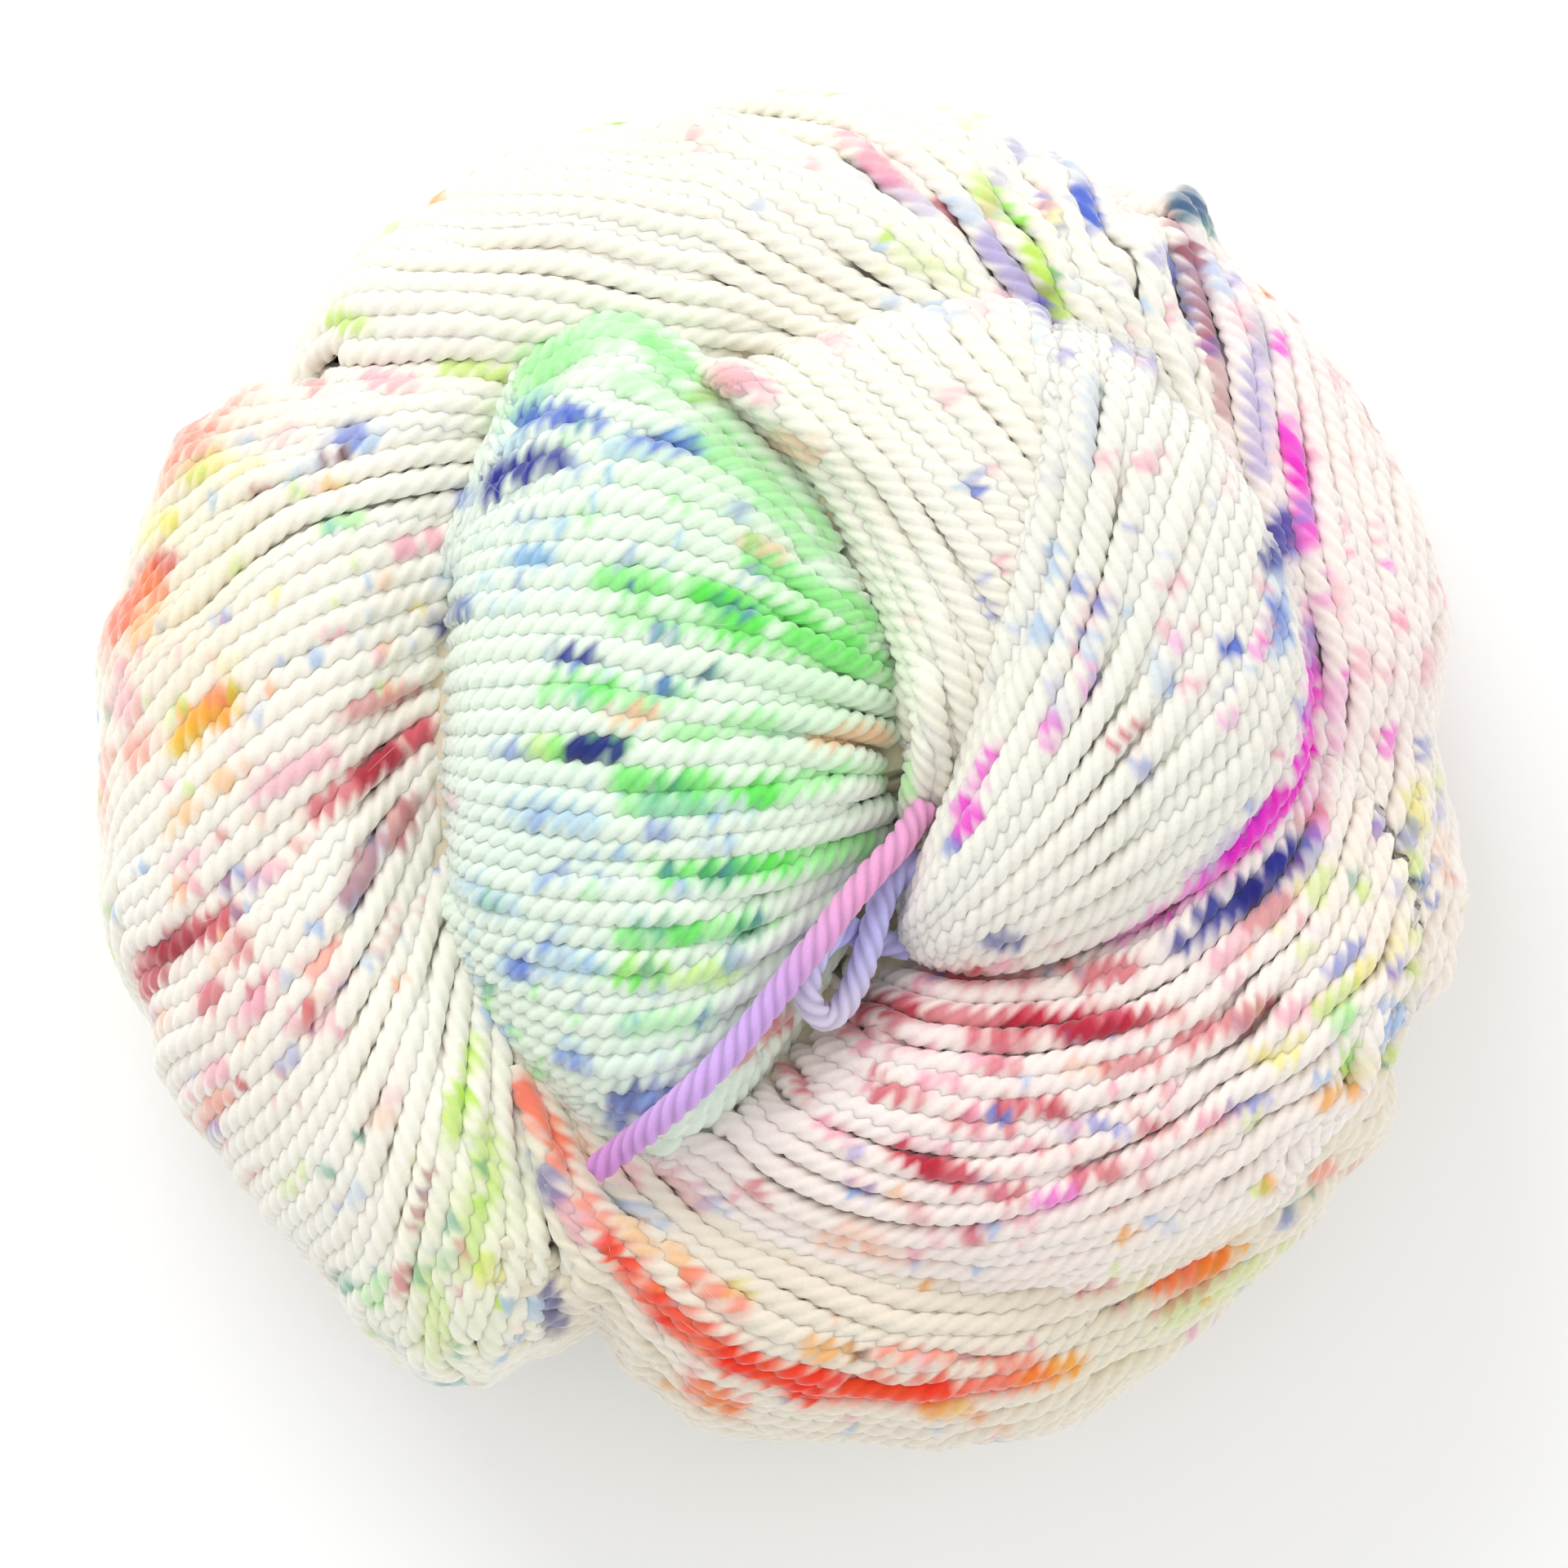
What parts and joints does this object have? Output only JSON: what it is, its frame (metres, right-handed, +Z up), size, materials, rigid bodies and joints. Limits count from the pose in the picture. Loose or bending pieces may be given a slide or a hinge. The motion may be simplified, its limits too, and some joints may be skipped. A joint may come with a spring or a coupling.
{
  "type": "knitting yarn, a twisted hank wound into a round bun",
  "caption": "Hand-dyed wool knitting yarn: a twisted hank wound up into a round, flattened bun of overlapping lobes, with the cut tail and a loop of its tie yarn on top.",
  "frame": {"origin": "middle of the bun's box, on the surface that its flat spot rests on", "axes": "+Z up out of the face with the lobes, +Y towards the top of the picture, +X to its right"},
  "size_m": [0.1124, 0.1114, 0.0525],
  "materials": {
    "hank_yarn": "plied wool, cream with hand-dyed speckles and streaks, matt with a soft halo",
    "tie_tail_yarn": "smooth plied tie yarn, pink turning to lilac, matt",
    "tie_loop_yarn": "smooth plied tie yarn, pale lilac, matt"
  },
  "bodies": {
    "root": {"hank": "hank_yarn", "tie_tail": "tie_tail_yarn", "tie_loop": "tie_loop_yarn"}
  },
  "joints": []
}
